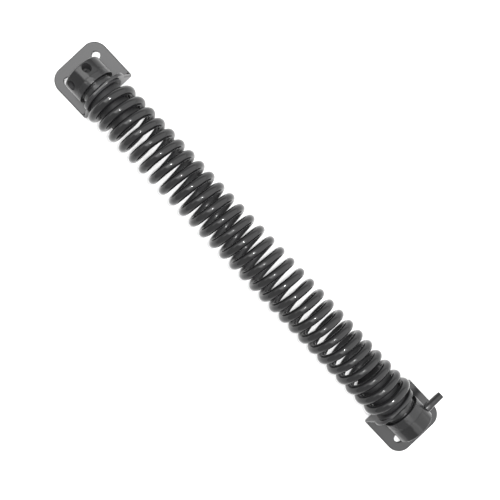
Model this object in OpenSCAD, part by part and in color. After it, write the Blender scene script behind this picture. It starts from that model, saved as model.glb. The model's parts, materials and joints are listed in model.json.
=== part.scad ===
// Gate spring closer: a long torsion spring between two screw-on brackets.
// The post end is fixed. The gate end carries a drum that is turned with a bar
// to wind the spring, and a locking pin that then bears on the bracket.
// Origin: midway between the two screw holes of the post bracket, on its back.
// +X runs along the spring to the gate end, +Z points away from the post.

/* [Overall] */
// Distance between the outer ends of the two mounting plates
overall_l = 292; // [260:1:330]

/* [Spring] */
// Diameter of the spring wire
wire_d = 5.1; // [4.6:0.1:5.6]
// Outer diameter of the coil
coil_od = 28.6; // [27.6:0.1:29]
// Full turns between the first and the last crossing over the top
body_turns = 28; // [22:1:30]
// How far the wire is spread outward over the last half turn
end_spread = 0.9; // [0.7:0.1:1.1]
// Axial travel of the last half turn at each end
end_rise = 2.9; // [2.6:0.1:3.3]
// Gap between the end of the wire and the thrust washer
end_gap = 0.25; // [0.1:0.05:0.6]

/* [Bracket] */
// Thickness of the bracket's steel sheet
sheet_t = 2.0; // [1.6:0.1:2.5]
// Mounting plate length, from its outer end to the spring side of the flange
plate_l = 30; // [29:0.5:36]
// Mounting plate width
plate_w = 35.5; // [34:0.5:42]
// Radius of the plate's two outer corners
plate_corner_r = 8; // [4:0.5:8.5]
// Inner radius of the bend between plate and flange
bend_r = 1.5; // [1:0.1:2]
// Diameter of the screw holes
screw_hole_d = 6.2; // [4:0.1:6.6]
// Distance between the two screw holes
screw_spacing = 21; // [18:0.5:22]
// Distance from the plate's outer end to the screw holes
screw_end_dist = 8.2; // [7.5:0.1:9]
// Height of the flange above the mounting face
flange_h = 25; // [24.4:0.1:27]
// Radius of the flange's upper corners
flange_corner_r = 10; // [7:0.5:11]
// Width across the flange's upper corners
flange_top_w = 27.2; // [26:0.2:30]
// Height of the spring's axis above the mounting face
axis_h = 15.8; // [15.6:0.1:16.8]
// Sideways distance from the spring's axis to the middle of the bracket
axis_offset = 1.5; // [0:0.1:2]

/* [Drum] */
// Diameter of the drum
drum_d = 22.9; // [21.5:0.1:23.4]
// Length of the post end's drum, without its hub
post_drum_l = 11.3; // [10.9:0.1:12.4]
// Length of the gate end's drum, without its hub
gate_drum_l = 12.8; // [12:0.1:13.2]
// Diameter of the hub on the drum's spring side
drum_hub_d = 18; // [17:0.1:18.6]
// Length of the hub
drum_hub_l = 0.5; // [0.3:0.1:0.8]
// Chamfer at the drum's outer rim
drum_chamfer = 0.4; // [0.2:0.1:1]
// Width of the groove between the drum's collar and its drilled part
groove_w = 0.5; // [0.3:0.1:0.8]
// Depth of that groove
groove_depth = 0.3; // [0.2:0.05:0.5]
// Distance from the drum's outer end to the groove
groove_end_dist = 8; // [7.6:0.1:8.4]
// Diameter of the holes for the winding bar and the locking pin
tommy_d = 4.9; // [4.4:0.1:5]
// Number of those holes
tommy_count = 3; // [1:1:4]
// Angle between neighbouring holes
tommy_step = 68; // [60:1:80]
// Distance from the drum's outer end to the holes
tommy_end_dist = 3.6; // [3.5:0.1:4]
// Least wall between the bottom of those holes and the square hole
tommy_web = 0.3; // [0.2:0.1:0.6]

/* [Spindle] */
// Diameter of the journal that turns in the flange
journal_d = 11; // [10:0.1:11.4]
// Width of the square tenon that carries the drum
tenon_w = 7.6; // [7:0.1:7.7]
// Length of the plug inside the end coils
plug_l = 21; // [16:0.5:24]
// Length of the plug's shoulder next to the flange
shoulder_l = 3; // [2:0.1:3.2]
// Chamfer at the plug's inner end
plug_chamfer = 1.2; // [0.6:0.1:2]
// Diameter of the riveted head
head_d = 10.6; // [10.2:0.1:12]
// Height of the riveted head
head_h = 1.6; // [1.2:0.1:2]

/* [Washers] */
// Outer diameter of the thrust washer between spring and flange
washer_d = 24; // [22:0.5:25]
// Thickness of the thrust washer
washer_t = 1; // [0.8:0.1:1.2]
// Outer diameter of the thrust collar between flange and drum
collar_d = 18.8; // [17.5:0.1:19]
// Thickness of the thrust collar
collar_t = 2.6; // [2:0.1:3]
// Outer diameter of the washer under the riveted head
rivet_washer_d = 15; // [13:0.5:17]
// Thickness of the washer under the riveted head
rivet_washer_t = 1; // [0.8:0.1:1.2]

/* [Dowel] */
// Diameter of the dowel that keeps the post end from turning
dowel_d = 2.4; // [2:0.1:2.6]
// Distance from the spring's axis to the dowel
dowel_r = 7.6; // [7.4:0.1:7.8]
// How far the dowel reaches into the drum
dowel_in_drum = 3; // [2:0.1:4]

/* [Locking pin] */
// Diameter of the pin outside the drum
pin_d = 3.9; // [3.2:0.1:4.2]
// Distance from the spring's axis to the pin's outer end
pin_reach = 22.6; // [20:0.1:24]
// Distance from the spring's axis to the outer end of the thick shank
shank_reach = 14; // [13:0.1:15]
// Chamfer at the pin's outer end
pin_chamfer = 0.4; // [0.2:0.1:0.6]

/* [Clearances] */
// Radial clearance of the journal in the flange and in the washers
journal_clear = 0.08; // [0.04:0.01:0.1]
// Axial clearance on each side of the flange
axial_clear = 0.05; // [0.02:0.01:0.1]
// Radial clearance between the plug and the end coils
plug_clear = 0.09; // [0.05:0.01:0.15]
// Clearance of the square tenon on each side
tenon_clear = 0.05; // [0.02:0.01:0.1]
// Radial clearance of the locking pin in its hole
pin_clear = 0.07; // [0.04:0.01:0.1]

/* [Hidden] */
$fn = 64;

// Paint, and the bare steel of the hidden dowel
paint = "#2b2b2c";
steel = "#6e7073";
// Extra length with which a cutter passes through what it cuts
past = 1;

// Places along an end, counted outward from the spring side of the flange
washer_face = -axial_clear - washer_t;
collar_face = sheet_t + axial_clear;
hub_face = collar_face + collar_t;
drum_face = hub_face + drum_hub_l;
function drum_end(drum_l) = drum_face + drum_l;
function tommy_place(drum_l) = drum_end(drum_l) - tommy_end_dist;
function rivet_face(drum_l) = drum_end(drum_l) + rivet_washer_t;
screw_place = plate_l - screw_end_dist;

// Height at which the bracket's sides begin to lean in, halfway up the bend
foot_z = sheet_t + bend_r / 2;

// Places along the whole closer
post_face = screw_place;
gate_face = post_face - 2 * plate_l + overall_l;
axis_y = -axis_offset;

// A lean is the sine of a half turn's tilt. It and its cosine are rounded to a
// millionth, and a rounded tilt changes lengths by the factor trim(lean), so that
// neighbouring half turns of the coil meet exactly.
function fine(size) = round(size * 1000000) / 1000000;
function cosine(lean) = fine(sqrt(1 - lean * lean));
function trim(lean) = 1 / pow(cosine(lean) * cosine(lean) + lean * lean, 1 / 6);
// The lean next to a wanted one that changes lengths just as another lean does, so
// that the wire is equally thick on both sides of a joint
function alike(wanted, other) = let (
    tries = [for (step = [-200:200]) fine(wanted + step / 1000000)],
    misses = [for (lean = tries) abs(trim(lean) - trim(other))],
    least = min(misses)
) [for (index = [0:len(tries) - 1]) if (misses[index] == least) tries[index]][0];
function climb(arc_r, lean) = arc_r * lean * trim(lean);
function level_r(arc_r, lean) = arc_r * cosine(lean) * trim(lean);

// Radii and lengths of the coil
half_turns = 2 * body_turns;
wire_end = -washer_face + end_gap + wire_d / 2;
coil_l = gate_face - post_face - 2 * wire_end - 2 * end_rise;
mean_r = (coil_od - wire_d) / 2;
lean = fine(coil_l / half_turns / 2 / mean_r);
half_pitch = 2 * climb(mean_r, lean);
joint_r = level_r(mean_r, lean);
last_r = mean_r + end_spread / 2;
last_lean = alike(end_rise / 2 / last_r, lean);
last_rise = 2 * climb(last_r, last_lean);
last_shift = level_r(last_r, last_lean) - joint_r;
first_top = (post_face + gate_face) / 2 - half_turns * half_pitch / 2;
last_top = first_top + half_turns * half_pitch;

// Radii of the spindle and its holes
plug_r = joint_r - wire_d / 2 - plug_clear;
shoulder_r = plug_r + end_spread - plug_clear;
bearing_r = journal_d / 2 + journal_clear;
tenon_hole_w = tenon_w + 2 * tenon_clear;
shank_d = tommy_d - 2 * pin_clear;
// Distances from the axis to the bottom of the drum's holes and to the pin's foot
tommy_floor = tenon_hole_w * sqrt(2) / 2 + tommy_web;
pin_foot = tommy_floor + pin_clear;

// The angle, about the axis, of the first hole of each drum
post_drum_turn = 106;
gate_drum_turn = 0;
// The angle of the dowel about the axis of the post end
dowel_turn = -90;

// Sets an end in its place: its own +X points away from the spring
module at_post() {
    translate([post_face, axis_y, 0]) rotate([0, 0, 180]) children();
}
module at_gate() {
    translate([gate_face, axis_y, 0]) children();
}
// Lays what is drawn about +Z along the spindle's axis of an end
module on_spindle() {
    translate([0, 0, axis_h]) rotate([0, 90, 0]) children();
}
// Turns about the spindle's axis what is drawn along +Z, so that it lies across it
module across(place, turn) {
    translate([place, 0, axis_h]) rotate([turn, 0, 0]) rotate([-90, 0, 0]) children();
}
// A ring about +Z between two places
module ring(from, to, outer_r, inner_r) {
    translate([0, 0, from]) difference() {
        cylinder(h = to - from, r = outer_r);
        translate([0, 0, -past]) cylinder(h = to - from + 2 * past, r = inner_r);
    }
}
// The hole for the dowel, or the dowel itself
module dowel_rod(from, to) {
    rotate([0, 0, dowel_turn])
        translate([dowel_r, 0, from]) cylinder(h = to - from, d = dowel_d);
}

// Moves along X and Z, first by whole thousandths and then by what is left
module finely(x, z) {
    near_x = round(x * 1000) / 1000;
    near_z = round(z * 1000) / 1000;
    translate([near_x, 0, near_z]) translate([x - near_x, 0, z - near_z]) children();
}
// One half turn of the coil about +Z: half a ring, tilted so that it climbs, and
// shifted towards +X. Its ends run square to the radius, so the next one carries on
// smoothly.
module half_turn(index, start, arc_r, lean, shift) {
    side = index % 2 == 0 ? 1 : -1;
    finely(shift, start + climb(arc_r, lean))
        rotate([0, side * asin(lean), 0])
            rotate([0, 0, side > 0 ? 180 : 0])
                rotate_extrude(angle = 180)
                    translate([arc_r, 0]) circle(d = wire_d);
}
module closing_spring() {
    color(paint) translate([0, axis_y, axis_h]) rotate([0, 90, 0]) union() {
        half_turn(0, first_top - last_rise, last_r, last_lean, last_shift);
        for (index = [1:half_turns])
            half_turn(index, first_top + (index - 1) * half_pitch, mean_r, lean, 0);
        half_turn(half_turns + 1, last_top, last_r, last_lean, last_shift);
    }
}

// The bracket's sheet seen from the side, as a bent strip
module bracket_side() {
    outer_r = bend_r + sheet_t;
    difference() {
        union() {
            translate([outer_r, 0]) square([plate_l - outer_r, sheet_t]);
            translate([0, outer_r]) square([sheet_t, flange_h - outer_r]);
            intersection() {
                square(outer_r);
                translate([outer_r, outer_r]) circle(r = outer_r);
            }
        }
        translate([outer_r, outer_r]) circle(r = bend_r);
    }
}
// The plate seen from above, with its two round outer corners
module plate_outline() {
    corner_x = plate_l - plate_corner_r;
    corner_y = plate_w / 2 - plate_corner_r;
    translate([-past, -plate_w / 2]) square([corner_x + past, plate_w]);
    translate([-past, -corner_y]) square([plate_l + past, 2 * corner_y]);
    for (side = [-1, 1])
        translate([corner_x, side * corner_y]) circle(r = plate_corner_r);
}
// The flange seen along the spring: its sides lean in to meet two round corners
module flange_outline() {
    foot_y = plate_w / 2;
    round_y = flange_top_w / 2 - flange_corner_r;
    round_z = flange_h - flange_corner_r;
    reach = norm([round_y - foot_y, round_z - foot_z]);
    side_l = sqrt(reach * reach - flange_corner_r * flange_corner_r);
    side_turn = atan2(round_z - foot_z, round_y - foot_y) - asin(flange_corner_r / reach);
    meet_y = foot_y + side_l * cos(side_turn);
    meet_z = foot_z + side_l * sin(side_turn);
    polygon([
        [-foot_y, -past], [foot_y, -past], [foot_y, foot_z], [meet_y, meet_z],
        [round_y, round_z], [round_y, flange_h], [-round_y, flange_h], [-round_y, round_z],
        [-meet_y, meet_z], [-foot_y, foot_z]
    ]);
    for (side = [-1, 1])
        translate([side * round_y, round_z]) circle(r = flange_corner_r);
}
module bracket(with_dowel) {
    outer_r = bend_r + sheet_t;
    difference() {
        translate([0, -axis_offset, 0]) difference() {
            intersection() {
                rotate([90, 0, 0])
                    translate([0, 0, -plate_w / 2 - past])
                        linear_extrude(plate_w + 2 * past) bracket_side();
                union() {
                    translate([0, 0, -past]) linear_extrude(foot_z + past) plate_outline();
                    translate([-past, 0, 0]) rotate([90, 0, 90])
                        linear_extrude(outer_r + past) flange_outline();
                }
            }
            for (side = [-1, 1])
                translate([screw_place, side * screw_spacing / 2, -past])
                    cylinder(h = sheet_t + 2 * past, d = screw_hole_d);
        }
        on_spindle() translate([0, 0, -past])
            cylinder(h = sheet_t + 2 * past, r = bearing_r);
        if (with_dowel)
            on_spindle() dowel_rod(-past, sheet_t + past);
    }
}

// Plug, journal, square tenon and riveted head, turned and milled from one bar
module spindle(drum_l) {
    shoulder_face = washer_face - shoulder_l;
    plug_face = washer_face - plug_l;
    on_spindle() {
        rotate_extrude() polygon([
            [0, plug_face], [plug_r - plug_chamfer, plug_face], [plug_r, plug_face + plug_chamfer],
            [plug_r, shoulder_face], [shoulder_r, shoulder_face], [shoulder_r, washer_face],
            [journal_d / 2, washer_face], [journal_d / 2, hub_face], [0, hub_face]
        ]);
        translate([-tenon_w / 2, -tenon_w / 2, hub_face - past])
            cube([tenon_w, tenon_w, rivet_face(drum_l) - hub_face + 2 * past]);
        translate([0, 0, rivet_face(drum_l)]) rotate_extrude() polygon([
            [0, 0], [head_d / 2, 0], [head_d / 2, head_h / 2], [head_d / 3, head_h], [0, head_h]
        ]);
    }
}
module thrust_washer() {
    on_spindle() ring(washer_face, -axial_clear, washer_d / 2, bearing_r);
}
module thrust_collar(with_dowel) {
    on_spindle() difference() {
        ring(collar_face, hub_face, collar_d / 2, bearing_r);
        if (with_dowel)
            dowel_rod(collar_face - past, hub_face + past);
    }
}
module rivet_washer(drum_l) {
    on_spindle() translate([0, 0, drum_end(drum_l)]) difference() {
        cylinder(h = rivet_washer_t, d = rivet_washer_d);
        translate([-tenon_hole_w / 2, -tenon_hole_w / 2, -past])
            cube([tenon_hole_w, tenon_hole_w, rivet_washer_t + 2 * past]);
    }
}
// The drum: hub, collar, groove and a part with blind holes, on a square hole
module drum(drum_l, turn, with_dowel) {
    end_face = drum_end(drum_l);
    groove_face = end_face - groove_end_dist;
    difference() {
        on_spindle() difference() {
            rotate_extrude() polygon([
                [0, hub_face], [drum_hub_d / 2, hub_face], [drum_hub_d / 2, drum_face],
                [drum_d / 2, drum_face], [drum_d / 2, groove_face],
                [drum_d / 2 - groove_depth, groove_face],
                [drum_d / 2 - groove_depth, groove_face + groove_w],
                [drum_d / 2, groove_face + groove_w], [drum_d / 2, end_face - drum_chamfer],
                [drum_d / 2 - drum_chamfer, end_face], [0, end_face]
            ]);
            translate([-tenon_hole_w / 2, -tenon_hole_w / 2, hub_face - past])
                cube([tenon_hole_w, tenon_hole_w, end_face - hub_face + 2 * past]);
            if (with_dowel)
                dowel_rod(hub_face - past, drum_face + dowel_in_drum);
        }
        for (index = [0:tommy_count - 1])
            across(tommy_place(drum_l), turn - index * tommy_step)
                translate([0, 0, tommy_floor]) cylinder(h = drum_d, d = tommy_d);
    }
}

module post_bracket() {
    color(paint) at_post() bracket(true);
}
module post_spindle() {
    color(paint) at_post() spindle(post_drum_l);
}
module post_thrust_washer() {
    color(paint) at_post() thrust_washer();
}
module post_thrust_collar() {
    color(paint) at_post() thrust_collar(true);
}
module post_drum() {
    color(paint) at_post() drum(post_drum_l, post_drum_turn, true);
}
module post_rivet_washer() {
    color(paint) at_post() rivet_washer(post_drum_l);
}
// It starts flush with the spring side of the flange and ends inside the drum
module post_dowel() {
    color(steel) at_post() on_spindle() dowel_rod(0, drum_face + dowel_in_drum);
}

module gate_bracket() {
    color(paint) at_gate() bracket(false);
}
module gate_spindle() {
    color(paint) at_gate() spindle(gate_drum_l);
}
module gate_thrust_washer() {
    color(paint) at_gate() thrust_washer();
}
module gate_thrust_collar() {
    color(paint) at_gate() thrust_collar(false);
}
module gate_drum() {
    color(paint) at_gate() drum(gate_drum_l, gate_drum_turn, false);
}
module gate_rivet_washer() {
    color(paint) at_gate() rivet_washer(gate_drum_l);
}
// A thick shank in the drum's first hole and a thinner end that is gripped
module locking_pin() {
    color(paint) at_gate() across(tommy_place(gate_drum_l), gate_drum_turn)
        rotate_extrude() polygon([
            [0, pin_foot], [shank_d / 2, pin_foot], [shank_d / 2, shank_reach],
            [pin_d / 2, shank_reach], [pin_d / 2, pin_reach - pin_chamfer],
            [pin_d / 2 - pin_chamfer, pin_reach], [0, pin_reach]
        ]);
}

closing_spring();
post_bracket();
post_spindle();
post_thrust_washer();
post_thrust_collar();
post_drum();
post_rivet_washer();
post_dowel();
gate_bracket();
gate_spindle();
gate_thrust_washer();
gate_thrust_collar();
gate_drum();
gate_rivet_washer();
locking_pin();
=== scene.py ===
import json
import math

import bmesh
import bpy
from mathutils import Matrix, Vector


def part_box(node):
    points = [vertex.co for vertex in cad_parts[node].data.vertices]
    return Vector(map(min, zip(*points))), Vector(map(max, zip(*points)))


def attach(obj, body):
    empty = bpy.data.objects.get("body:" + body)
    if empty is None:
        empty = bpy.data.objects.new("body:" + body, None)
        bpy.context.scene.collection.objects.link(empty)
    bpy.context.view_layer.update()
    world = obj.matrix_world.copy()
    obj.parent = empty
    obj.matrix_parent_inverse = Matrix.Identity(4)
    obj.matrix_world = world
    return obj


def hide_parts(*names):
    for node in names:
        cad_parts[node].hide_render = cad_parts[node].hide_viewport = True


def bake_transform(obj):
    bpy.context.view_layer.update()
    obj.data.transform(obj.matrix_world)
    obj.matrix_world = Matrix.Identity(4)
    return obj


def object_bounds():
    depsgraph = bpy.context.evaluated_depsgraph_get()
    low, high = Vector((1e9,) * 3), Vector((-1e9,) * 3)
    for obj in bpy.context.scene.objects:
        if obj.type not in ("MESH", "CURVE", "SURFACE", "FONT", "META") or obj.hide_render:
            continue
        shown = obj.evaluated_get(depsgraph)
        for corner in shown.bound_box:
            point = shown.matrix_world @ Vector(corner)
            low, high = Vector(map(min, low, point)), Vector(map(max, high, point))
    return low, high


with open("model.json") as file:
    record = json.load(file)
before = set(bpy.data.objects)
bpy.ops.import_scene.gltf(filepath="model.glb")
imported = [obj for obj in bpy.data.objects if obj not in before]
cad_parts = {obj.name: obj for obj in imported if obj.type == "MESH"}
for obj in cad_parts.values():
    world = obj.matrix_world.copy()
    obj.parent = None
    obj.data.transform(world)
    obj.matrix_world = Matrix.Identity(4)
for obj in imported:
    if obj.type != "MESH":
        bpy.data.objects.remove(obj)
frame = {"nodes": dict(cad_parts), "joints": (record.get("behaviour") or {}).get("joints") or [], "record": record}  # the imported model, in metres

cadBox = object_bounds()
mm = 0.001
scene = bpy.context.scene

# Where things are, read from the frame
springLow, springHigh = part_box("closing_spring")
flangeFace = {  # x of each flange's side towards the spring
    "post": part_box("post_bracket")[1].x, "gate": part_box("gate_bracket")[0].x,
}
spinAxis = Vector(frame["joints"][0]["pos_m"])  # a point on the axis that everything turns about
axisY = spinAxis.y
axisZ = spinAxis.z


# Small helpers

def linearColour(code):
    # sRGB hex to the linear colour that a shader wants
    channels = [int(code[i:i + 2], 16) / 255 for i in (1, 3, 5)]
    linear = [c / 12.92 if c <= 0.04045 else ((c + 0.055) / 1.055) ** 2.4 for c in channels]
    return (*linear, 1.0)


def addNode(tree, kind, inputs=None, **settings):
    # settings are the node's own, inputs are values or sockets to link, by name or number
    node = tree.nodes.new(kind)
    for name, value in settings.items():
        setattr(node, name, value)
    for name, value in (inputs or {}).items():
        if isinstance(value, bpy.types.NodeSocket):
            tree.links.new(value, node.inputs[name])
        else:
            node.inputs[name].default_value = value
    return node


def makeObject(name, mesh, material=None):
    piece = bpy.data.objects.new(name, mesh)
    scene.collection.objects.link(piece)
    if material:
        mesh.materials.clear()
        mesh.materials.append(material)
    return piece


def bakeModifiers(piece):
    # swaps the mesh for the one that the modifiers give
    graph = bpy.context.evaluated_depsgraph_get()
    finished = bpy.data.meshes.new_from_object(piece.evaluated_get(graph))
    piece.modifiers.clear()
    piece.data = finished


def smoothShade(mesh, sharpDegrees=35):
    mesh.shade_smooth()
    mesh.set_sharp_from_angle(angle=math.radians(sharpDegrees))


# Materials

noiseSpan = (0.3, 0.7)  # where nearly all of a noise texture's values lie


def makePaint(name, look):
    # Gloss black stoving enamel on steel, dipped and baked: a dark, slightly uneven mirror
    # with soft waves where it ran, fine orange peel and dust nibs. Towards the coil's axis the
    # colour is painted paler, as painted light that lifts the shade inside the coil, and the enamel is
    # rougher there.
    material = bpy.data.materials.new(name)
    material.use_nodes = True
    tree = material.node_tree
    tree.nodes.clear()
    place = addNode(tree, "ShaderNodeTexCoord").outputs["Object"]
    cloud = addNode(tree, "ShaderNodeTexNoise", {
        "Vector": place, "Scale": 1 / (look["cloudSize"] * mm), "Detail": 3.0}).outputs["Fac"]
    colour = addNode(tree, "ShaderNodeMix", {
        "Factor": cloud, "A": linearColour(look["colour"]), "B": linearColour(look["paleColour"])},
        data_type="RGBA").outputs["Result"]
    roughness = addNode(tree, "ShaderNodeMapRange", {
        "Value": cloud, "From Min": noiseSpan[0], "From Max": noiseSpan[1],
        "To Min": look["roughness"][0], "To Max": look["roughness"][1]}).outputs["Result"]
    # painted light: a paler colour and more roughness towards the coil's axis, standing in for fill
    # light on the coil's shaded inner side
    if "paintedLightInsideColour" in look:
        fromAxis = addNode(tree, "ShaderNodeVectorMath", {
            0: place, 1: (0.0, axisY, axisZ)}, operation="SUBTRACT").outputs[0]
        across = addNode(tree, "ShaderNodeVectorMath", {
            0: fromAxis, 1: (0.0, 1.0, 1.0)}, operation="MULTIPLY").outputs[0]
        radius = addNode(tree, "ShaderNodeVectorMath", {0: across}, operation="LENGTH").outputs["Value"]
        inside = addNode(tree, "ShaderNodeMapRange", {
            "Value": radius, "From Min": look["insideFrom"] * mm,
            "From Max": look["insideTo"] * mm}).outputs["Result"]
        colour = addNode(tree, "ShaderNodeMix", {
            "Factor": inside, "A": colour, "B": linearColour(look["paintedLightInsideColour"])},
            data_type="RGBA").outputs["Result"]
        roughness = addNode(tree, "ShaderNodeMix", {
            "Factor": inside, "A": roughness, "B": look["insideRoughness"]},
            data_type="FLOAT").outputs["Result"]
    wave = addNode(tree, "ShaderNodeTexNoise", {
        "Vector": place, "Scale": 1 / (look["waveSize"] * mm), "Detail": 0.0})
    waveBump = addNode(tree, "ShaderNodeBump", {
        "Height": wave.outputs["Fac"], "Distance": look["waveHeight"] * mm, "Strength": 1.0})
    peel = addNode(tree, "ShaderNodeTexNoise", {
        "Vector": place, "Scale": 1 / (look["peelSize"] * mm), "Detail": 1.0})
    peelBump = addNode(tree, "ShaderNodeBump", {
        "Height": peel.outputs["Fac"], "Distance": look["peelHeight"] * mm, "Strength": 1.0,
        "Normal": waveBump.outputs["Normal"]})
    nibs = addNode(tree, "ShaderNodeTexVoronoi", {
        "Vector": place, "Scale": 1 / (look["nibSpacing"] * mm)})
    nibHeight = addNode(tree, "ShaderNodeMapRange", {
        "Value": nibs.outputs["Distance"], "From Min": 0.0, "From Max": look["nibReach"],
        "To Min": 1.0, "To Max": 0.0})
    nibBump = addNode(tree, "ShaderNodeBump", {
        "Height": nibHeight.outputs["Result"], "Distance": look["nibHeight"] * mm,
        "Strength": 1.0, "Normal": peelBump.outputs["Normal"]})
    shader = addNode(tree, "ShaderNodeBsdfPrincipled", {
        "Base Color": colour, "Roughness": roughness, "IOR": look["ior"],
        "Normal": nibBump.outputs["Normal"]})
    addNode(tree, "ShaderNodeOutputMaterial", {"Surface": shader.outputs["BSDF"]})
    return material


sheetPaintLook = {  # sizes, spacings and heights in mm
    "colour": "#1e1e1f", "paleColour": "#232324", "cloudSize": 9.0,
    "waveSize": 6.0, "waveHeight": 0.03, "peelSize": 1.6, "peelHeight": 0.006,
    "nibSpacing": 7.0, "nibReach": 0.05, "nibHeight": 0.01,  # the reach is a share of the spacing
    "roughness": (0.16, 0.22), "ior": 1.47,
}
wirePaintLook = dict(
    sheetPaintLook, colour="#111112", paleColour="#161617", waveSize=3.0, waveHeight=0.03,
    peelSize=2.4, peelHeight=0.005, roughness=(0.09, 0.13), ior=1.43,
    # the inside colour is painted light: paler towards the coil's axis, lifting the shade inside the
    # coil
    insideFrom=13.2, insideTo=10.8,  # mm from the coil's axis
    paintedLightInsideColour="#343435", insideRoughness=0.25)
turnedPaintLook = dict(
    sheetPaintLook, colour="#101011", paleColour="#141415", waveSize=2.6, waveHeight=0.07,
    peelSize=1.3, peelHeight=0.004, roughness=(0.12, 0.18), ior=1.42)
coarsePaintLook = dict(  # over a sheared edge or a surface that was never machined
    sheetPaintLook, colour="#151516", paleColour="#1b1b1c", waveSize=1.5, waveHeight=0.16,
    peelSize=0.8, peelHeight=0.02, roughness=(0.2, 0.3), ior=1.44)
dullPaintLook = dict(  # thin and half dry, where the dip barely reached
    sheetPaintLook, colour="#212122", paleColour="#262627", roughness=(0.45, 0.55), ior=1.3)
# paler enamel for the drum's holes: painted light that lifts the shade in them
paintedLightHolePaintLook = dict(dullPaintLook, colour="#39393a", paleColour="#3f3f40")


def makeSteel(name, look):
    # Turned mild steel, bare where the paint never reached: fine rings and a dull shine
    material = bpy.data.materials.new(name)
    material.use_nodes = True
    tree = material.node_tree
    tree.nodes.clear()
    place = addNode(tree, "ShaderNodeTexCoord").outputs["Object"]
    wavePeriod = math.pi / 10  # a wave texture's own, at scale 1
    rings = addNode(tree, "ShaderNodeTexWave", {
        "Vector": place, "Scale": wavePeriod / (look["ringSpacing"] * mm),
        "Distortion": look["ringDistortion"]}, wave_type="BANDS", bands_direction="X").outputs["Fac"]
    colour = addNode(tree, "ShaderNodeMix", {
        "Factor": rings, "A": linearColour(look["colour"]), "B": linearColour(look["paleColour"])},
        data_type="RGBA")
    bump = addNode(tree, "ShaderNodeBump", {
        "Height": rings, "Distance": look["ringHeight"] * mm, "Strength": 1.0})
    shader = addNode(tree, "ShaderNodeBsdfPrincipled", {
        "Base Color": colour.outputs["Result"], "Metallic": 1.0,
        "Roughness": look["roughness"], "Normal": bump.outputs["Normal"]})
    addNode(tree, "ShaderNodeOutputMaterial", {"Surface": shader.outputs["BSDF"]})
    return material


steelLook = {
    "colour": "#8f9093", "paleColour": "#a3a4a6", "roughness": 0.35,
    "ringSpacing": 0.59, "ringHeight": 0.002, "ringDistortion": 0.6,  # mm
}

sheetPaint = makePaint("glossBlackEnamelOnSheet", sheetPaintLook)
wirePaint = makePaint("glossBlackEnamelOnWire", wirePaintLook)
turnedPaint = makePaint("glossBlackEnamelOnTurnedSteel", turnedPaintLook)
coarsePaint = makePaint("glossBlackEnamelOnRoughCuts", coarsePaintLook)
dullPaint = makePaint("thinBlackEnamelInside", dullPaintLook)
paintedLightHolePaint = makePaint("blackEnamelPaintedPalerInHoles", paintedLightHolePaintLook)
bareSteel = makeSteel("turnedMildSteel", steelLook)
print("materials made")


# Closing spring: one wire wound left-handed, its last half turns spread and drawn in

springParts = {
    "wireD": 5.1, "coilD": 28.6, "bodyTurns": 28, "endSpread": 0.9, "endRise": 2.9,  # mm
    "tighterEnds": 0.76,  # mm that the coils at a quarter of the length lie nearer to their end
    "gateStretch": 0.63,  # mm that the last coil lies nearer to the gate end's flange
    "ringsPerTurn": 48, "sides": 24, "cutRound": 0.35, "cutSteps": 3, "sharpDegrees": 50,
}

springInputs = {
    "NodeSocketFloat": ("Turns", "Mean Radius", "Wire Radius", "End Spread", "End Rise", "Start",
                        "Pitch", "Tighter Ends", "Gate Stretch"),
    "NodeSocketInt": ("Rings", "Sides"),
    "NodeSocketVector": ("Axis",),
    "NodeSocketMaterial": ("Paint",),
}

# The wire's line, a Math node a row: its name, its operation, and an earlier name or a number
# for each input. The turns run from the post end.
windingSteps = [
    ("turn", "MULTIPLY", "along", "Turns"),
    ("left", "SUBTRACT", "Turns", "turn"),
    ("nearPost", "MINIMUM", "turn", 0.5),  # the part of the turns in the first half turn
    ("beforeEnd", "MINIMUM", "left", 0.5),
    ("nearGate", "SUBTRACT", 0.5, "beforeEnd"),  # and in the last one
    ("pastPost", "SUBTRACT", "turn", "nearPost"),
    ("body", "SUBTRACT", "pastPost", "nearGate"),  # and between the two
    ("nearEnds", "ADD", "nearPost", "nearGate"),
    ("endPitch", "MULTIPLY", "End Rise", 2.0),
    ("endX", "MULTIPLY", "nearEnds", "endPitch"),
    ("turnsX", "MULTIPLY_ADD", "body", "Pitch", "endX"),
    ("evenX", "ADD", "Start", "turnsX"),
    ("bodyTurns", "SUBTRACT", "Turns", 1.0),
    ("share", "DIVIDE", "body", "bodyTurns"),  # of the way between the ends
    ("phase", "MULTIPLY", "share", math.tau),
    ("wave", "SINE", "phase"),
    ("waveX", "MULTIPLY", "wave", "Tighter Ends"),
    ("pulledX", "SUBTRACT", "evenX", "waveX"),
    ("squared", "MULTIPLY", "share", "share"),
    ("backAgain", "MULTIPLY", "nearGate", 2.0),
    ("reach", "SUBTRACT", "squared", "backAgain"),
    ("x", "MULTIPLY_ADD", "reach", "Gate Stretch", "pulledX"),
    ("fromCut", "MINIMUM", "turn", "left"),
    ("fromEnd", "MINIMUM", "fromCut", 0.5),
    ("endPhase", "MULTIPLY", "fromEnd", math.tau),
    ("endCosine", "COSINE", "endPhase"),
    ("raised", "ADD", "endCosine", 1.0),
    ("spread", "MULTIPLY", "raised", 0.5),
    ("radius", "MULTIPLY_ADD", "spread", "End Spread", "Mean Radius"),
    ("downward", "MULTIPLY", "radius", -1.0),
    ("angle", "MULTIPLY", "turn", math.tau),
    ("sine", "SINE", "angle"),
    ("cosine", "COSINE", "angle"),
    ("y", "MULTIPLY", "sine", "downward"),
    ("z", "MULTIPLY", "cosine", "downward"),
]


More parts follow.
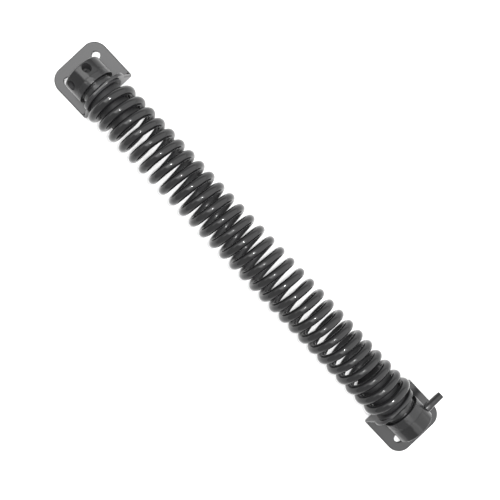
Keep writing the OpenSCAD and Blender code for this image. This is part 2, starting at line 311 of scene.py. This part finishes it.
def springTree():
    tree = bpy.data.node_groups.new("windClosingSpring", "GeometryNodeTree")
    tree.interface.new_socket("Geometry", in_out="OUTPUT", socket_type="NodeSocketGeometry")
    for kind, names in springInputs.items():
        for name in names:
            tree.interface.new_socket(name, in_out="INPUT", socket_type=kind)
    known = {socket.name: socket for socket in addNode(tree, "NodeGroupInput").outputs}
    known["along"] = addNode(tree, "GeometryNodeSplineParameter").outputs["Factor"]
    for name, operation, *sources in windingSteps:
        inputs = {slot: known.get(source, source) for slot, source in enumerate(sources)}
        known[name] = addNode(tree, "ShaderNodeMath", inputs, operation=operation).outputs[0]
    line = addNode(tree, "GeometryNodeCurvePrimitiveLine")
    fine = addNode(tree, "GeometryNodeResampleCurve", {
        "Curve": line.outputs["Curve"], "Count": known["Rings"]})
    point = addNode(tree, "ShaderNodeCombineXYZ", {"X": known["x"], "Y": known["y"], "Z": known["z"]})
    onAxis = addNode(tree, "ShaderNodeVectorMath", {
        0: point.outputs[0], 1: known["Axis"]}, operation="ADD")
    wound = addNode(tree, "GeometryNodeSetPosition", {
        "Geometry": fine.outputs["Curve"], "Position": onAxis.outputs[0]})
    section = addNode(tree, "GeometryNodeCurvePrimitiveCircle", {
        "Resolution": known["Sides"], "Radius": known["Wire Radius"]})
    wire = addNode(tree, "GeometryNodeCurveToMesh", {
        "Curve": wound.outputs["Geometry"], "Profile Curve": section.outputs["Curve"],
        "Fill Caps": True})
    real = addNode(tree, "GeometryNodeRealizeInstances", {"Geometry": wire.outputs["Mesh"]})
    painted = addNode(tree, "GeometryNodeSetMaterial", {
        "Geometry": real.outputs["Geometry"], "Material": known["Paint"]})
    addNode(tree, "NodeGroupOutput", {"Geometry": painted.outputs["Geometry"]})
    return tree


def roundCutEnds(mesh, size, steps):
    # the wire is cut square, and the paint rounds the cut's edge
    work = bmesh.new()
    work.from_mesh(mesh)
    rims = [edge for face in work.faces if len(face.verts) > 4 for edge in face.edges]
    bmesh.ops.bevel(work, geom=rims, offset=size, segments=steps, profile=0.5, affect="EDGES")
    bmesh.ops.recalc_face_normals(work, faces=work.faces)
    work.to_mesh(mesh)
    work.free()


def makeSpring(parts):
    wireRadius = parts["wireD"] / 2 * mm
    meanRadius = (parts["coilD"] - parts["wireD"]) / 2 * mm
    turns = parts["bodyTurns"] + 1
    start = springLow.x + wireRadius
    end = springHigh.x - wireRadius
    pitch = (end - start - 2 * parts["endRise"] * mm) / parts["bodyTurns"]
    tree = springTree()
    spring = makeObject("spring_wire", bpy.data.meshes.new("spring_wire"))
    winding = spring.modifiers.new("wind", "NODES")
    winding.node_group = tree
    values = {
        "Turns": float(turns), "Mean Radius": meanRadius, "Wire Radius": wireRadius,
        "End Spread": parts["endSpread"] * mm, "End Rise": parts["endRise"] * mm,
        "Tighter Ends": parts["tighterEnds"] * mm, "Gate Stretch": parts["gateStretch"] * mm,
        "Start": start, "Pitch": pitch, "Rings": turns * parts["ringsPerTurn"] + 1,
        "Sides": parts["sides"], "Axis": (0.0, axisY, axisZ), "Paint": wirePaint,
    }
    for socket in tree.interface.items_tree:
        if socket.in_out == "INPUT":
            winding[socket.identifier] = values[socket.name]
    bakeModifiers(spring)
    roundCutEnds(spring.data, parts["cutRound"] * mm, parts["cutSteps"])
    smoothShade(spring.data, parts["sharpDegrees"])
    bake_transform(spring)
    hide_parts("closing_spring")
    print("spring wound:", len(spring.data.polygons), "faces")


makeSpring(springParts)


# Turned pieces: outlines turned about the spindle's axis, with rounded corners

def roundOutline(corners, closed, steps=5):
    # corners are (along, radius, rounding); each rounded one becomes a short arc
    points = []
    count = len(corners)
    mostOfHalf = 0.49  # of a side, for the rounding at each of its two ends
    for index, (along, radius, rounding) in enumerate(corners):
        here = Vector((along, radius))
        atEnd = not closed and index in (0, count - 1)
        if atEnd or rounding <= 0:
            points.append(here)
            continue
        before = Vector(corners[index - 1][:2]) - here
        after = Vector(corners[(index + 1) % count][:2]) - here
        half = before.angle(after) / 2
        reach = min(rounding / math.tan(half), before.length * mostOfHalf, after.length * mostOfHalf)
        arcRadius = reach * math.tan(half)
        inward = (before.normalized() + after.normalized()).normalized()
        centre = here + inward * (arcRadius / math.sin(half))
        first = here + before.normalized() * reach - centre
        last = here + after.normalized() * reach - centre
        sweep = first.angle_signed(last)
        for step in range(steps + 1):
            turned = Matrix.Rotation(-sweep * step / steps, 2) @ first
            points.append(centre + turned)
    return points


def turnOnAxis(work, corners, closed=False, segments=128):
    # corners are in mm: along is outward from the flange, radius from the axis
    outline = roundOutline(corners, closed)
    onAxis = 1e-6
    rings = []
    for along, radius in outline:
        if radius < onAxis:
            rings.append([work.verts.new((along, 0, 0))])
            continue
        ring = []
        for index in range(segments):
            angle = math.tau * index / segments
            ring.append(work.verts.new((along, radius * math.cos(angle), radius * math.sin(angle))))
        rings.append(ring)
    pairs = list(zip(rings, rings[1:]))
    if closed:
        pairs.append((rings[-1], rings[0]))
    for ringA, ringB in pairs:
        for index in range(segments):
            after = (index + 1) % segments
            if len(ringA) == 1:
                work.faces.new((ringA[0], ringB[index], ringB[after]))
            elif len(ringB) == 1:
                work.faces.new((ringA[index], ringB[0], ringA[after]))
            else:
                work.faces.new((ringA[index], ringB[index], ringB[after], ringA[after]))


def endPlacement(end):
    # an end's own x points outward from its flange, in mm, along the spindle's axis
    turn = Matrix.Rotation(math.pi if end == "post" else 0.0, 4, "Z")
    return Matrix.Translation((flangeFace[end], axisY, axisZ)) @ turn @ Matrix.Scale(mm, 4)


def finishMesh(work, name, end, material=None, sharpDegrees=35):
    bmesh.ops.recalc_face_normals(work, faces=work.faces)
    mesh = bpy.data.meshes.new(name)
    work.to_mesh(mesh)
    work.free()
    mesh.transform(endPlacement(end))
    piece = makeObject(name, mesh, material)
    smoothShade(mesh, sharpDegrees)
    return piece


def combine(target, cutter, operation):
    step = target.modifiers.new(operation.lower(), "BOOLEAN")
    step.operation = operation
    step.solver = "EXACT"
    step.object = cutter
    bakeModifiers(target)
    bpy.data.objects.remove(cutter)


def declare(piece, node):
    for body, nodes in frame["record"]["behaviour"]["bodies"].items():
        if node in nodes:
            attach(piece, body)
    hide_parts(node)


stack = {  # places outward from the spring side of the flange, in mm
    "washerFace": -1.05, "washerBack": -0.05, "collarFace": 2.05, "hubFace": 4.65, "drumFace": 5.15,
}
ringParts = {  # mm
    "boreR": 5.58, "innerRound": 0.1, "collarR": 9.4, "collarRound": 0.3,
    "washerR": 12.0, "washerRound": 0.25, "rivetWasherR": 7.5, "rivetWasherT": 1.0,
}
drumParts = {  # mm, and degrees for the turns
    "length": {"post": 11.3, "gate": 12.8}, "radius": 11.45, "edgeRound": 0.35,
    "chamfer": 0.4, "rimRound": 0.25, "hubR": 9.0, "hubRound": 0.15, "hubFootRound": 0.1,
    "grooveEnd": 8.0, "grooveW": 0.5, "grooveDepth": 0.12, "grooveSlope": 0.1,
    "grooveLipRound": 0.12, "grooveFloorRound": 0.1, "squareW": 7.7, "overcut": 1.0, "sides": 160,
    "holeCount": 3, "holeStep": 68.0, "firstTurn": {"post": 106.0, "gate": 0.0},
    "holeEnd": 3.6, "holeR": 2.45, "holeFloor": 4.6, "drillTip": 1.2, "holeSides": 64,
    "lipDepth": 0.44, "lipRise": 0.07, "lipSpread": 0.24, "lipRound": 0.6, "flare": 3.0,
    "paintedLightHoleDepth": 0.4, "facePaintDepth": 0.1, "sharpDegrees": 32,
}
spindleParts = {  # mm
    "plugR": 8.93, "plugL": 21.0, "plugChamfer": 1.2, "plugRound": 0.3,
    "shoulderR": 9.74, "shoulderL": 3.0, "shoulderRound": 0.2, "innerRound": 0.1,
    "journalR": 5.5, "tenonW": 7.6, "intoJournal": 1.0, "intoHead": 0.5,
    # the head's corners: height over the rivet washer, radius, rounding
    "head": [(0.0, 5.1, 0.3), (0.45, 5.3, 0.3), (0.9, 4.9, 0.5), (1.35, 3.6, 0.8), (1.6, 1.8, 0.8)],
    "headSides": 96, "dentsFrom": 0.5, "dentDepth": 0.12, "dentPace": (1.7, 1.9),
    "dentShift": (0.6, 1.1), "sharpDegrees": 32,
}


def drumEnd(end):
    return stack["drumFace"] + drumParts["length"][end]


def holePlace(end):
    return drumEnd(end) - drumParts["holeEnd"]


def squareBar(name, end, lowX, highX, width):
    work = bmesh.new()
    bmesh.ops.create_cube(work, size=1.0)
    length = highX - lowX
    bmesh.ops.scale(work, vec=(length, width, width), verts=work.verts)
    bmesh.ops.translate(work, vec=(lowX + length / 2, 0, 0), verts=work.verts)
    return finishMesh(work, name, end)


def drill(end, turn, parts):
    # flared at the drum's surface, so that the hole's lip is rounded
    work = bmesh.new()
    radius = parts["holeR"]
    surface = parts["radius"]
    flare = parts["flare"]
    turnOnAxis(work, [
        (parts["holeFloor"] - parts["drillTip"], 0, 0), (parts["holeFloor"], radius, 0),
        (surface - parts["lipDepth"], radius, parts["lipRound"]),
        (surface + parts["lipRise"], radius + parts["lipSpread"], 0),
        (surface + flare, radius + flare, 0), (surface + flare, 0, 0)], segments=parts["holeSides"])
    work.transform(Matrix.Translation((holePlace(end), 0, 0))
                   @ Matrix.Rotation(math.radians(turn), 4, "X")
                   @ Matrix.Rotation(math.pi / 2, 4, "Z"))
    return finishMesh(work, "drill", end)


def makeDrum(end, parts):
    radius = parts["radius"]
    endFace = drumEnd(end)
    groove = endFace - parts["grooveEnd"]
    grooveBack = groove + parts["grooveW"]
    grooveR = radius - parts["grooveDepth"]
    work = bmesh.new()
    turnOnAxis(work, [
        (stack["hubFace"], 0, 0), (stack["hubFace"], parts["hubR"], parts["hubRound"]),
        (stack["drumFace"], parts["hubR"], parts["hubFootRound"]),
        (stack["drumFace"], radius, parts["edgeRound"]),
        (groove, radius, parts["grooveLipRound"]),
        (groove + parts["grooveSlope"], grooveR, parts["grooveFloorRound"]),
        (grooveBack - parts["grooveSlope"], grooveR, parts["grooveFloorRound"]),
        (grooveBack, radius, parts["grooveLipRound"]),
        (endFace - parts["chamfer"], radius, parts["edgeRound"]),
        (endFace, radius - parts["chamfer"], parts["rimRound"]),
        (endFace, 0, 0)], segments=parts["sides"])
    drum = finishMesh(work, end + "_drum_turned", end, turnedPaint)
    square = squareBar("square", end, stack["hubFace"] - parts["overcut"],
                       endFace + parts["overcut"], parts["squareW"])
    combine(drum, square, "DIFFERENCE")
    for index in range(parts["holeCount"]):
        turn = parts["firstTurn"][end] - index * parts["holeStep"]
        combine(drum, drill(end, turn, parts), "DIFFERENCE")
    smoothShade(drum.data, parts["sharpDegrees"])
    drum.data.materials.append(coarsePaint)
    drum.data.materials.append(paintedLightHolePaint)
    intoEnd = endPlacement(end).inverted()
    for face in drum.data.polygons:
        here = intoEnd @ face.center
        underFace = here.x < endFace - parts["facePaintDepth"]
        underSurface = math.hypot(here.y, here.z) < radius - parts["paintedLightHoleDepth"]
        if here.x < groove:  # the part next to the flange was never machined
            face.material_index = 1
        elif underFace and underSurface:  # in the holes the enamel is painted paler: painted light that lifts the shade there
            face.material_index = 2
    declare(drum, end + "_drum")


def makeRing(end, name, node, lowX, highX, outerR, innerR, soft, paint):
    innerRound = ringParts["innerRound"]
    work = bmesh.new()
    turnOnAxis(work, [(lowX, innerR, innerRound), (lowX, outerR, soft), (highX, outerR, soft),
                      (highX, innerR, innerRound)], closed=True)
    declare(finishMesh(work, end + name, end, paint), end + node)


def makeRings(end, parts):
    rivetFace = drumEnd(end)
    makeRing(end, "_collar_ring", "_thrust_collar", stack["collarFace"], stack["hubFace"],
             parts["collarR"], parts["boreR"], parts["collarRound"], coarsePaint)
    makeRing(end, "_washer_ring", "_thrust_washer", stack["washerFace"], stack["washerBack"],
             parts["washerR"], parts["boreR"], parts["washerRound"], dullPaint)
    makeRing(end, "_rivet_ring", "_rivet_washer", rivetFace, rivetFace + parts["rivetWasherT"],
             parts["rivetWasherR"], spindleParts["tenonW"] / 2, parts["washerRound"], turnedPaint)


def makeSpindle(end, parts):
    # plug, journal, square tenon and a head closed with a hammer, in one thin coat of paint
    plugFace = stack["washerFace"] - parts["plugL"]
    shoulderFace = stack["washerFace"] - parts["shoulderL"]
    headFace = drumEnd(end) + ringParts["rivetWasherT"]
    innerRound = parts["innerRound"]
    work = bmesh.new()
    turnOnAxis(work, [
        (plugFace, 0, 0), (plugFace, parts["plugR"] - parts["plugChamfer"], parts["plugRound"]),
        (plugFace + parts["plugChamfer"], parts["plugR"], parts["plugRound"]),
        (shoulderFace, parts["plugR"], innerRound),
        (shoulderFace, parts["shoulderR"], parts["shoulderRound"]),
        (stack["washerFace"], parts["shoulderR"], parts["shoulderRound"]),
        (stack["washerFace"], parts["journalR"], innerRound),
        (stack["hubFace"], parts["journalR"], innerRound), (stack["hubFace"], 0, 0)])
    spindle = finishMesh(work, end + "_spindle_turned", end, dullPaint)
    tenon = squareBar("tenon", end, stack["hubFace"] - parts["intoJournal"],
                      headFace + parts["intoHead"], parts["tenonW"])
    combine(spindle, tenon, "UNION")
    corners = [(headFace + height, radius, rounding) for height, radius, rounding in parts["head"]]
    work = bmesh.new()
    turnOnAxis(work, [(headFace, 0, 0), *corners, (corners[-1][0], 0, 0)], segments=parts["headSides"])
    paceY, paceZ = parts["dentPace"]
    shiftY, shiftZ = parts["dentShift"]
    for vert in work.verts:  # hammer marks: a few shallow flats
        dent = math.sin(vert.co.y * paceY + shiftY) * math.sin(vert.co.z * paceZ + shiftZ)
        if vert.co.x > headFace + parts["dentsFrom"]:
            vert.co.x -= parts["dentDepth"] * max(0.0, dent)
    combine(spindle, finishMesh(work, "head", end), "UNION")
    smoothShade(spindle.data, parts["sharpDegrees"])
    declare(spindle, end + "_spindle")


for end in ("post", "gate"):
    makeDrum(end, drumParts)
    makeRings(end, ringParts)
    makeSpindle(end, spindleParts)
print("turned pieces made")


# Brackets: a pierced blank of sheet steel with softened edges, bent up at one end

bracketParts = {  # mm
    "sheet": 2.0, "plateL": 30.0, "plateW": 35.5, "cornerR": 8.0, "bendR": 1.5,
    "holeR": 3.1, "holeSpacing": 21.0, "holeEnd": 8.2, "flangeH": 25.0, "flangeCornerR": 10.0,
    "flangeTopW": 27.2, "axisOffset": 1.5, "edgeRound": 0.6, "holeRound": 0.6,
    "arcSteps": 14, "holeSides": 48, "bendSteps": 10, "sharpDegrees": 40,
}


def arcPoints(centreU, centreV, radius, fromDegrees, toDegrees, steps):
    points = []
    for step in range(steps + 1):
        angle = math.radians(fromDegrees + (toDegrees - fromDegrees) * step / steps)
        points.append(Vector((centreU + radius * math.cos(angle), centreV + radius * math.sin(angle))))
    return points


def bendPlaces(parts):
    # where the bend starts and ends on the flat blank
    start = parts["plateL"] - parts["bendR"] - parts["sheet"]
    return start, start + (parts["bendR"] + parts["sheet"] / 2) * math.pi / 2


def blankOutline(parts):
    # the flat blank: u runs from the plate's outer end to the flange's top, v across
    half = parts["plateW"] / 2
    bendStart, bendEnd = bendPlaces(parts)
    top = bendEnd + parts["flangeH"] - parts["bendR"] - parts["sheet"]
    cornerR = parts["cornerR"]
    flangeR = parts["flangeCornerR"]
    roundV = parts["flangeTopW"] / 2 - flangeR
    roundU = top - flangeR
    footU = (bendStart + bendEnd) / 2
    reach = math.hypot(roundV - half, roundU - footU)
    tilt = math.degrees(math.atan2(roundU - footU, half - roundV) - math.acos(flangeR / reach))
    side = arcPoints(roundU, roundV, flangeR, 90 - tilt, 0, parts["arcSteps"] * 2)
    points = arcPoints(cornerR, half - cornerR, cornerR, 180, 90, parts["arcSteps"])
    points.append(Vector((footU, half)))
    points += side
    points += [Vector((u, -v)) for u, v in reversed(side)]
    points.append(Vector((footU, -half)))
    points += arcPoints(cornerR, -half + cornerR, cornerR, 270, 180, parts["arcSteps"])
    return points


def insetLoop(points, distance):
    moved = []
    count = len(points)
    leastStretch = 0.4  # keeps a sharp corner from running away
    for index, here in enumerate(points):
        before = (here - points[index - 1]).normalized()
        after = (points[(index + 1) % count] - here).normalized()
        normal = Vector((before.y, -before.x)) + Vector((after.y, -after.x))
        normal.normalize()
        stretch = max(leastStretch, normal.dot(Vector((before.y, -before.x))))
        moved.append(here + normal * (distance / stretch))
    return moved


def wallRings(work, points, half, soft, paintIndex, steps=4):
    # the rounded edge of the sheet along one closed outline; returns its first and last ring
    levels = []
    for step in range(steps + 1):
        angle = math.pi / 2 * step / steps
        levels.append((soft * (1 - math.sin(angle)), half - soft * (1 - math.cos(angle))))
    levels += [(inset, -height) for inset, height in reversed(levels)]
    rings = []
    for inset, height in levels:
        rings.append([work.verts.new((spot.x, spot.y, height)) for spot in insetLoop(points, inset)])
    count = len(points)
    for ringA, ringB in zip(rings, rings[1:]):
        for index in range(count):
            after = (index + 1) % count
            face = work.faces.new((ringA[index], ringA[after], ringB[after], ringB[index]))
            face.material_index = paintIndex
    return rings[0], rings[-1]


def ringEdges(work, ring):
    return [work.edges.get((ring[i], ring[(i + 1) % len(ring)])) for i in range(len(ring))]


def makeBracket(end, parts):
    bendStart, bendEnd = bendPlaces(parts)
    half = parts["sheet"] / 2
    outerR = parts["bendR"] + parts["sheet"]
    middleR = parts["bendR"] + half
    spindleU = bendEnd + axisZ / mm - outerR
    offset = -parts["axisOffset"]
    spread = parts["holeSpacing"] / 2
    outline = [Vector((u, v + offset)) for u, v in blankOutline(parts)]
    edges = [(outline, parts["edgeRound"], 1)]
    for u, v, radius in ((parts["holeEnd"], offset + spread, parts["holeR"]),
                         (parts["holeEnd"], offset - spread, parts["holeR"]),
                         (spindleU, 0.0, ringParts["boreR"])):
        loop = arcPoints(u, v, radius, 0, -360, parts["holeSides"])[:-1]
        edges.append((loop, parts["holeRound"], 0))
    work = bmesh.new()
    tops = []
    bottoms = []
    for loop, soft, paintIndex in edges:
        first, last = wallRings(work, loop, half, soft, paintIndex)
        tops += ringEdges(work, first)
        bottoms += ringEdges(work, last)
    for rim in (tops, bottoms):
        bmesh.ops.triangle_fill(work, use_beauty=True, use_dissolve=False, edges=rim)
    for step in range(parts["bendSteps"] + 1):
        cut = bendStart + (bendEnd - bendStart) * step / parts["bendSteps"]
        bmesh.ops.bisect_plane(work, geom=work.verts[:] + work.edges[:] + work.faces[:],
                               plane_co=(cut, 0, 0), plane_no=(1, 0, 0))
    for vert in work.verts:
        u, v, height = vert.co
        if u <= bendStart:
            x = parts["plateL"] - u
            z = half + height
        elif u < bendEnd:
            angle = (u - bendStart) / middleR
            x = outerR - (middleR - height) * math.sin(angle)
            z = outerR - (middleR - height) * math.cos(angle)
        else:
            x = half + height
            z = outerR + (u - bendEnd)
        vert.co = (x, v, z - axisZ / mm)
    bracket = finishMesh(work, end + "_bracket_sheet", end, sheetPaint, parts["sharpDegrees"])
    bracket.data.materials.append(coarsePaint)  # on the sheared edges
    even = bracket.modifiers.new("even", "WEIGHTED_NORMAL")
    even.keep_sharp = True
    even.weight = 100
    bakeModifiers(bracket)
    declare(bracket, end + "_bracket")


for end in ("post", "gate"):
    makeBracket(end, bracketParts)
print("brackets bent")


# Locking pin: a thick shank in the gate drum's hole and a thinner end to pull

pinParts = {  # mm from the drum's axis, and radii
    "foot": 5.82, "shankR": 2.38, "shankReach": 14.0, "pinR": 2.15, "tipR": 1.98, "reach": 22.6,
    "footRound": 0.2, "shankRound": 0.35, "neckRound": 0.3, "tipRound": 0.5, "sides": 64,
}


def makePin(parts):
    work = bmesh.new()
    turnOnAxis(work, [
        (parts["foot"], 0, 0), (parts["foot"], parts["shankR"], parts["footRound"]),
        (parts["shankReach"], parts["shankR"], parts["shankRound"]),
        (parts["shankReach"], parts["pinR"], parts["neckRound"]),
        (parts["reach"], parts["tipR"], parts["tipRound"]),
        (parts["reach"], 0, 0)], segments=parts["sides"])
    work.transform(Matrix.Translation((holePlace("gate"), 0, 0)) @ Matrix.Rotation(math.pi / 2, 4, "Z"))
    # the wire's paint also paints the pin paler near the axis: the same painted light as inside the
    # coil
    declare(finishMesh(work, "locking_pin_rod", "gate", wirePaint), "locking_pin")


makePin(pinParts)

# The dowel lies hidden between flange and drum, and keeps its bare steel
dowel = frame["nodes"]["post_dowel"]
dowel.data.materials.clear()
dowel.data.materials.append(bareSteel)
print("pin and dowel made")


# Camera at the photograph's angle, floor, backdrop and lamp

cameraView = {
    "photoSize": 500, "focalPixels": 660.7,  # pixels
    "sensor": 36.0,  # mm
    "foot": (113.2, -4.7), "height": 375.0,  # mm, the camera's own place
    "aim": (136.15, -1.29, 15.8),  # mm, what lies at the middle of the photograph
    "roll": 46.654,  # degrees from the photograph's horizontal to the spring's line
}


def makeCamera(view):
    camera = bpy.data.objects.new("photoCamera", bpy.data.cameras.new("photoCamera"))
    scene.collection.objects.link(camera)
    camera.data.sensor_width = view["sensor"]
    camera.data.lens = view["focalPixels"] / view["photoSize"] * view["sensor"]
    place = Vector((*view["foot"], view["height"])) * mm
    back = (place - Vector(view["aim"]) * mm).normalized()
    roll = math.radians(view["roll"])
    right = Vector((math.cos(roll), math.sin(roll), 0))
    right = (right - back * right.dot(back)).normalized()
    up = back.cross(right)
    turn = Matrix((right, up, back)).transposed()
    camera.matrix_world = Matrix.Translation(place) @ turn.to_4x4()
    scene.camera = camera


def seenDirectly(tree):
    # 1 for what the camera sees, also in a reflection or through glass, else 0
    path = addNode(tree, "ShaderNodeLightPath").outputs
    both = addNode(tree, "ShaderNodeMath", {
        0: path["Is Camera Ray"], 1: path["Is Glossy Ray"]}, operation="MAXIMUM")
    return addNode(tree, "ShaderNodeMath", {
        0: both.outputs[0], 1: path["Is Transmission Ray"]}, operation="MAXIMUM").outputs[0]


floorLook = {
    "paper": "#d4d4d4", "glow": 0.04, "seenGlow": 0.34,
    "middle": 0.137, "radius": 3.0, "drop": 0.00002, "sides": 96,  # metres
}


def makeFloor(look):
    # white paper: lit evenly from all around, and still darker where the closer shades it
    material = bpy.data.materials.new("whitePaper")
    material.use_nodes = True
    tree = material.node_tree
    tree.nodes.clear()
    paper = addNode(tree, "ShaderNodeBsdfDiffuse", {"Color": linearColour(look["paper"])})
    seen = addNode(tree, "ShaderNodeMapRange", {
        "Value": seenDirectly(tree), "To Min": look["glow"], "To Max": look["seenGlow"]})
    glow = addNode(tree, "ShaderNodeEmission", {
        "Color": linearColour("#ffffff"), "Strength": seen.outputs["Result"]})
    both = addNode(tree, "ShaderNodeAddShader", {0: paper.outputs[0], 1: glow.outputs[0]})
    addNode(tree, "ShaderNodeOutputMaterial", {"Surface": both.outputs[0]})
    work = bmesh.new()
    bmesh.ops.create_circle(work, cap_ends=True, radius=look["radius"], segments=look["sides"])
    mesh = bpy.data.meshes.new("floor")
    work.to_mesh(mesh)
    work.free()
    mesh.transform(Matrix.Translation((look["middle"], 0, cadBox[0].z - look["drop"])))
    makeObject("floor", mesh, material)


worldLook = {
    "ambient": 0.5,
    "panels": [  # places, half sizes and soft edges in degrees
        {"place": (62, 50), "size": (98, 42), "soft": 12, "level": 1.3},
        {"place": (-14, -3), "size": (22, 15), "soft": 4, "level": 4.4},
        {"place": (24, -2), "size": (15, 15), "soft": 4, "level": 1.9},
        {"place": (-48, -22), "size": (9, 13), "soft": 5, "level": 1.9},
    ],
}


def makeWorld(look):
    # a white backdrop, also in reflections, and soft panels before it that only the camera
    # doesn't see; a panel's place is its angle from straight up: across is towards +X,
    # along is towards +Y
    world = bpy.data.worlds.new("studio")
    scene.world = world
    world.use_nodes = True
    tree = world.node_tree
    tree.nodes.clear()
    direction = addNode(tree, "ShaderNodeTexCoord").outputs["Generated"]
    towards = addNode(tree, "ShaderNodeSeparateXYZ", {0: direction}).outputs
    across = addNode(tree, "ShaderNodeMath", {0: towards["X"], 1: towards["Z"]}, operation="ARCTAN2")
    along = addNode(tree, "ShaderNodeMath", {0: towards["Y"]}, operation="ARCSINE")
    across = addNode(tree, "ShaderNodeMath", {0: across.outputs[0]}, operation="DEGREES").outputs[0]
    along = addNode(tree, "ShaderNodeMath", {0: along.outputs[0]}, operation="DEGREES").outputs[0]
    unseen = addNode(tree, "ShaderNodeMath", {
        0: 1.0, 1: addNode(tree, "ShaderNodeLightPath").outputs["Is Camera Ray"]}, operation="SUBTRACT")
    light = addNode(tree, "ShaderNodeMapRange", {
        "Value": seenDirectly(tree), "To Min": look["ambient"], "To Max": 1.0}).outputs["Result"]
    for panel in look["panels"]:
        x, y = panel["place"]
        halfX, halfY = panel["size"]
        soft = panel["soft"]
        shine = addNode(tree, "ShaderNodeMath", {
            0: unseen.outputs[0], 1: panel["level"]}, operation="MULTIPLY")
        for angle, edge, blur in ((across, x - halfX, soft), (across, x + halfX, -soft),
                                  (along, y - halfY, soft), (along, y + halfY, -soft)):
            inside = addNode(tree, "ShaderNodeMapRange", {
                "Value": angle, "From Min": edge - blur, "From Max": edge + blur},
                interpolation_type="SMOOTHSTEP")
            shine = addNode(tree, "ShaderNodeMath", {
                0: shine.outputs[0], 1: inside.outputs["Result"]}, operation="MULTIPLY")
        light = addNode(tree, "ShaderNodeMath", {
            0: light, 1: shine.outputs[0]}, operation="ADD").outputs[0]
    room = addNode(tree, "ShaderNodeBackground", {"Color": linearColour("#ffffff"), "Strength": light})
    addNode(tree, "ShaderNodeOutputWorld", {"Surface": room.outputs[0]})


smallLampLook = {  # beside the camera: it makes the dot on each strand's crest
    "place": (125, 30, 390), "aim": (137.8, -1.5, 15.8), "size": (8, 8), "watts": 0.9,  # mm
}


def makeLamp(name, look):
    light = bpy.data.lights.new(name, "AREA")
    light.shape = "RECTANGLE"
    light.size = look["size"][0] * mm
    light.size_y = look["size"][1] * mm
    light.energy = look["watts"]
    lamp = bpy.data.objects.new(name, light)
    scene.collection.objects.link(lamp)
    place = Vector(look["place"]) * mm
    back = (place - Vector(look["aim"]) * mm).normalized()
    lamp.rotation_euler = back.to_track_quat("Z", "Y").to_euler()
    lamp.location = place


makeCamera(cameraView)
makeFloor(floorLook)
makeWorld(worldLook)
makeLamp("smallLamp", smallLampLook)
scene.view_settings.view_transform = "Standard"
print("camera, floor and lamp placed")
